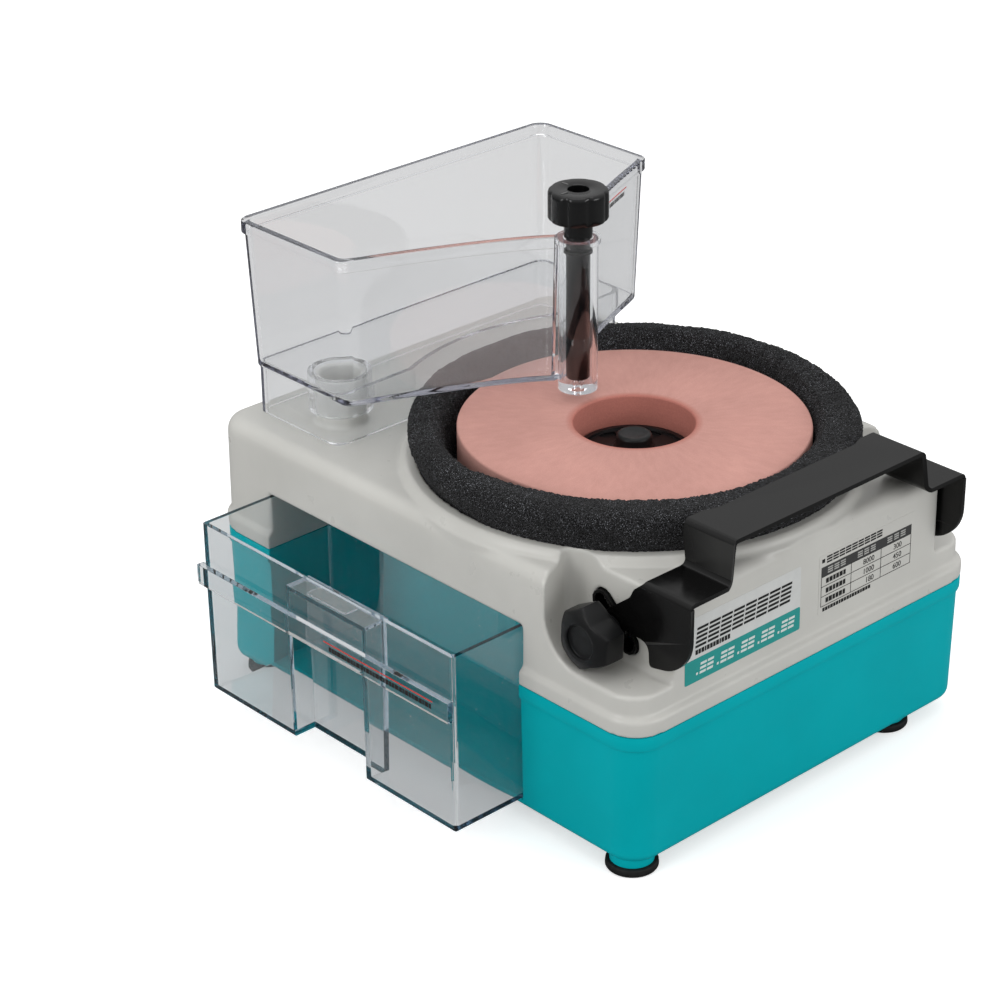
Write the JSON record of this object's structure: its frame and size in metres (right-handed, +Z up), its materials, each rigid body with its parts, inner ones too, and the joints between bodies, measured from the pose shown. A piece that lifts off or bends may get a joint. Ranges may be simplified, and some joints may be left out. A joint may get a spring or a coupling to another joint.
{
  "type": "wet grinding sharpener",
  "caption": "Horizontal wet grinding sharpener: pink water stone in a foam splash ring, clear water tank with drip tap, clear waste drawer and clamped tool rest.",
  "frame": {"origin": "centre of the bounding box at the bottom of the feet", "axes": "+Z up; +Y from the tool rest to the water tank; -X is the side the waste drawer opens to"},
  "size_m": [0.3068, 0.3316, 0.278],
  "materials": {
    "teal_abs": "glossy teal moulded housing",
    "grey_abs": "glossy warm light grey moulding",
    "clear_styrene": "clear moulded plastic, slate tint at the edges",
    "black_paint": "satin black coated sheet steel",
    "black_plastic": "satin black moulding",
    "black_rubber": "matt black rubber",
    "charcoal_foam": "open-cell charcoal foam",
    "pink_stone": "matt salmon abrasive stone",
    "bright_steel": "bright steel",
    "cast_alloy": "cast aluminium",
    "green_board": "circuit board",
    "white_film": "printed film"
  },
  "bodies": {
    "machine": {"base_housing": "teal_abs", "cover_housing": "grey_abs", "splash_ring": "charcoal_foam", "foot_1": "black_rubber", "foot_2": "black_rubber", "foot_3": "black_rubber", "foot_4": "black_rubber", "foot_screw_1": "bright_steel", "foot_screw_2": "bright_steel", "foot_screw_3": "bright_steel", "foot_screw_4": "bright_steel", "bearing_housing": "cast_alloy", "housing_screw_1": "bright_steel", "housing_screw_2": "bright_steel", "housing_screw_3": "bright_steel", "bearing_lower": "bright_steel", "bearing_upper": "bright_steel", "spindle_seal": "black_rubber", "motor_can": "black_paint", "motor_plate": "bright_steel", "motor_standoff_1": "black_plastic", "motor_standoff_2": "black_plastic", "motor_standoff_3": "black_plastic", "motor_standoff_4": "black_plastic", "drive_belt": "black_rubber", "control_pcb": "green_board", "heat_sink": "cast_alloy", "terminal_block": "white_film", "speed_pot": "bright_steel", "switch_body": "black_plastic", "cord_gland": "black_rubber", "slot_plate_left": "black_plastic", "slot_plate_right": "black_plastic", "name_label": "white_film", "speed_label": "white_film"},
    "spindle_unit": {"spindle": "bright_steel", "turntable": "cast_alloy", "grinding_stone": "pink_stone", "stone_hub": "black_plastic", "centre_button": "black_plastic", "driven_pulley": "black_plastic"},
    "motor_rotor": {"motor_shaft": "bright_steel", "motor_pulley": "black_plastic"},
    "drawer": {"waste_drawer": "clear_styrene", "drawer_label": "white_film"},
    "tank": {"water_tank": "clear_styrene"},
    "tap": {"tap_rod": "black_plastic", "tap_seal": "black_rubber", "tap_knob": "black_plastic"},
    "rest_bolts": {"rest_bolt_left": "bright_steel", "rest_bolt_right": "bright_steel"},
    "rest": {"tool_rest": "black_paint"},
    "knob_left": {"clamp_knob_left": "black_plastic"},
    "knob_right": {"clamp_knob_right": "black_plastic"},
    "dial": {"speed_dial": "black_plastic"},
    "rocker": {"power_rocker": "black_plastic"}
  },
  "joints": [
    {"name": "stone_spin", "type": "hinge", "parent": "machine", "child": "spindle_unit", "pos_m": [0.0162, -0.0308, 0.1345], "axis": [0, 0, 1], "continuous": true},
    {"name": "motor_spin", "type": "hinge", "parent": "machine", "child": "motor_rotor", "pos_m": [0.0822, 0.0872, 0.03], "axis": [0, 0, 1], "continuous": true},
    {"name": "drawer_slide", "type": "slide", "parent": "machine", "child": "drawer", "axis": [-1, 0, 0], "range_m": [-0.038, 0.03]},
    {"name": "tank_lift", "type": "slide", "parent": "machine", "child": "tank", "axis": [0, 0, 1], "range_m": [0, 0.05]},
    {"name": "tap_turn", "type": "hinge", "parent": "tank", "child": "tap", "pos_m": [0.0162, 0.0102, 0.262], "axis": [0, 0, 1], "range_deg": [0, 270]},
    {"name": "rest_slot_slide", "type": "slide", "parent": "machine", "child": "rest_bolts", "axis": [0, 0.742, 0.6704], "range_m": [0, 0.007]},
    {"name": "rest_tilt", "type": "hinge", "parent": "rest_bolts", "child": "rest", "pos_m": [0.0162, -0.1148, 0.1173], "axis": [-1, 0, 0], "range_deg": [0, 6]},
    {"name": "left_clamp_turn", "type": "hinge", "parent": "rest_bolts", "child": "knob_left", "pos_m": [-0.0828, -0.1148, 0.1173], "axis": [-1, 0, 0], "range_deg": [0, 720]},
    {"name": "right_clamp_turn", "type": "hinge", "parent": "rest_bolts", "child": "knob_right", "pos_m": [0.1152, -0.1148, 0.1173], "axis": [1, 0, 0], "range_deg": [0, 720]},
    {"name": "speed_turn", "type": "hinge", "parent": "machine", "child": "dial", "pos_m": [0.1402, -0.0658, 0.103], "axis": [1, 0, 0], "range_deg": [0, 270]},
    {"name": "power_rock", "type": "hinge", "parent": "machine", "child": "rocker", "pos_m": [0.1372, -0.0158, 0.102], "axis": [0, 0, -1], "range_deg": [0, 12]}
  ],
  "couplings": [
    {"joint": "motor_spin", "follows": "stone_spin", "ratio": 3.97}
  ]
}
